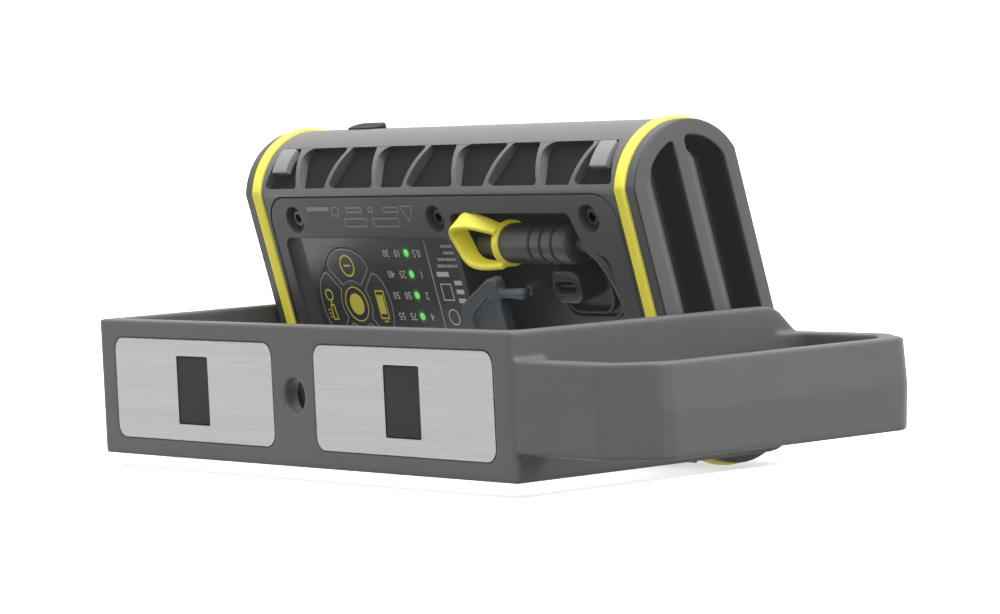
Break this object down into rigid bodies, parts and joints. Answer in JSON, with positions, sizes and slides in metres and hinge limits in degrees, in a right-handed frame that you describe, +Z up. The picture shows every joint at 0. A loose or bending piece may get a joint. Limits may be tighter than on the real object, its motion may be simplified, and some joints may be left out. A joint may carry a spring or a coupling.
{
  "type": "rechargeable led work light",
  "caption": "Rechargeable area work light: a lamp head with keypad, stowed charge lead and frosted lens swivels between the arms of a magnetic bracket that has a carrying handle at one side.",
  "frame": {"origin": "middle of the bottom face of the bracket's magnet panel, midway through the panel's thickness", "axes": "+X along the magnet panel towards the handle, +Y from the panel back to the swivel axis, +Z up, with the lamp head at its pictured tilt"},
  "size_m": [0.235, 0.1013, 0.0934],
  "materials": {
    "grey_plastic": "fine matt texture",
    "dark_plastic": "fine matt texture",
    "black_plastic": "matt",
    "clip_plastic": "satin",
    "brushed_steel": "brushed lengthwise",
    "bolt_steel": "turned",
    "black_steel": "black oxide",
    "magnet": "nickel plated",
    "dark_rubber": "matt",
    "yellow_rubber": "matt",
    "blue_grey_rubber": "satin",
    "key_film": "satin film",
    "lamp_green": "clear, lit green",
    "lens_clear": "frosted",
    "reflector_white": "gloss white",
    "board_green": "solder mask",
    "board_white": "solder mask",
    "emitter_yellow": "phosphor",
    "sink_aluminium": "as cast",
    "cell_wrap": "printed sleeve"
  },
  "bodies": {
    "bracket": {"bracket_frame": "grey_plastic", "magnet_plate_left": "brushed_steel", "magnet_plate_right": "brushed_steel", "magnet_pad_left": "dark_rubber", "magnet_pad_right": "dark_rubber", "magnet_left": "magnet", "magnet_right": "magnet", "swivel_bolt_left": "bolt_steel", "swivel_bolt_right": "bolt_steel", "friction_washer_left": "dark_rubber", "friction_washer_right": "dark_rubber"},
    "head": {"end_cap_left": "grey_plastic", "end_cap_right": "grey_plastic", "accent_ring_left": "yellow_rubber", "accent_ring_right": "yellow_rubber", "rear_shell": "grey_plastic", "front_shell": "grey_plastic", "lens_clip_top_left": "clip_plastic", "lens_clip_top_right": "clip_plastic", "lens_clip_bottom_left": "clip_plastic", "lens_clip_bottom_right": "clip_plastic", "top_nub": "dark_rubber", "rear_cover": "dark_plastic", "cover_screw_1": "black_steel", "cover_screw_2": "black_steel", "cover_screw_3": "black_steel", "cover_screw_4": "black_steel", "cover_screw_5": "black_steel", "cover_screw_6": "black_steel", "keypad_panel": "key_film", "charge_lamp_1": "lamp_green", "charge_lamp_2": "lamp_green", "charge_lamp_3": "lamp_green", "charge_lamp_4": "lamp_green", "charge_lamp_5": "lamp_green", "keypad_board": "board_green", "lead_pocket": "black_plastic", "lead_plug": "black_plastic", "pull_loop": "yellow_rubber", "charge_port": "black_plastic", "charge_lead": "black_plastic", "lead_gland": "black_plastic", "lens": "lens_clear", "lens_gasket": "dark_rubber", "reflector": "reflector_white", "led_board": "board_white", "led_strip_upper": "emitter_yellow", "led_strip_lower": "emitter_yellow", "heat_sink": "sink_aluminium", "battery_cell_1": "cell_wrap", "battery_cell_2": "cell_wrap", "battery_cell_3": "cell_wrap", "control_board": "board_green"},
    "key_centre": {"key_centre": "key_film"},
    "key_minus": {"key_minus": "key_film"},
    "key_plus": {"key_plus": "key_film"},
    "key_spot": {"key_spot": "key_film"},
    "key_flood": {"key_flood": "key_film"},
    "port_flap": {"port_flap": "blue_grey_rubber"}
  },
  "joints": [
    {"name": "head_swivel", "type": "hinge", "parent": "bracket", "child": "head", "pos_m": [0, 0.07805, 0.019], "axis": [1, 0, 0], "range_deg": [-105, 75]},
    {"name": "key_centre_press", "type": "slide", "parent": "head", "child": "key_centre", "axis": [0, 0.9668, 0.2554], "range_m": [0, 0.0005], "stiffness_N_per_m": 600},
    {"name": "key_minus_press", "type": "slide", "parent": "head", "child": "key_minus", "axis": [0, 0.9668, 0.2554], "range_m": [0, 0.0005], "stiffness_N_per_m": 600},
    {"name": "key_plus_press", "type": "slide", "parent": "head", "child": "key_plus", "axis": [0, 0.9668, 0.2554], "range_m": [0, 0.0005], "stiffness_N_per_m": 600},
    {"name": "key_spot_press", "type": "slide", "parent": "head", "child": "key_spot", "axis": [0, 0.9668, 0.2554], "range_m": [0, 0.0005], "stiffness_N_per_m": 600},
    {"name": "key_flood_press", "type": "slide", "parent": "head", "child": "key_flood", "axis": [0, 0.9668, 0.2554], "range_m": [0, 0.0005], "stiffness_N_per_m": 600},
    {"name": "port_flap_hinge", "type": "hinge", "parent": "head", "child": "port_flap", "pos_m": [0.0326, 0.05078, 0.04293], "axis": [1, 0, 0], "range_deg": [-100, 0], "stiffness_Nm_per_rad": 0.02}
  ]
}
